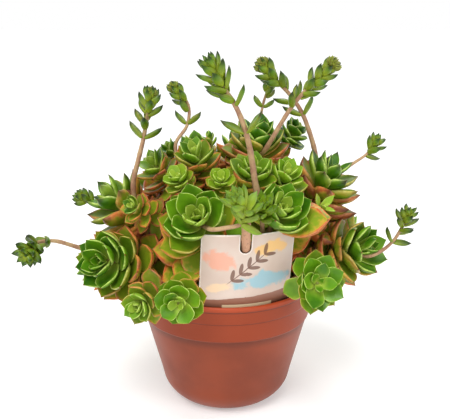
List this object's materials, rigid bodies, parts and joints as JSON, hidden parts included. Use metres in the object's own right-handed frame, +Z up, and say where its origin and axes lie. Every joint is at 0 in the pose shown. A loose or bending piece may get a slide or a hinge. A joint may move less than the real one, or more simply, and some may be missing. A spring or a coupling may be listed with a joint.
{
  "type": "potted succulent",
  "caption": "Clump of fleshy rosettes with leafy flower stalks in a tapered clay-coloured plastic pot, with a card label standing at the front.",
  "frame": {"origin": "centre of the pot's flat base, on the surface that it stands on", "axes": "+Z up along the pot's axis, -Y towards the front with the label, +X to the right seen from the front"},
  "size_m": [0.3046, 0.2364, 0.2881],
  "materials": {
    "clay_plastic": "satin",
    "compost": "matte",
    "label_card": "satin",
    "leaf_green": "satin",
    "leaf_pale_green": "satin",
    "stalk": "satin"
  },
  "bodies": {
    "root": {"pot": "clay_plastic", "soil": "compost", "label": "label_card", "head_01": "leaf_green", "head_02": "leaf_green", "head_03": "leaf_pale_green", "head_04": "leaf_pale_green", "head_05": "leaf_green", "head_06": "leaf_green", "head_07": "leaf_green", "head_08": "leaf_green", "head_09": "leaf_green", "head_10": "leaf_green", "head_11": "leaf_green", "head_12": "leaf_green", "head_13": "leaf_green", "head_14": "leaf_green", "head_15": "leaf_green", "head_16": "leaf_green", "head_17": "leaf_pale_green", "head_18": "leaf_pale_green", "head_19": "leaf_green", "head_20": "leaf_green", "head_21": "leaf_pale_green", "head_22": "leaf_green", "head_23": "leaf_green", "head_24": "leaf_green", "head_25": "leaf_green", "head_26": "leaf_green", "head_27": "leaf_green", "head_28": "leaf_green", "head_29": "leaf_green", "head_30": "leaf_pale_green", "head_31": "leaf_green", "head_32": "leaf_green", "head_33": "leaf_green", "head_34": "leaf_green", "head_35": "leaf_green", "stalk_01": "stalk", "stalk_02": "stalk", "stalk_03": "stalk", "stalk_04": "stalk", "stalk_05": "stalk", "stalk_06": "stalk", "stalk_07": "stalk", "stalk_08": "stalk", "stalk_09": "stalk", "stalk_10": "stalk", "stalk_11": "stalk", "stalk_12": "stalk"}
  },
  "joints": []
}
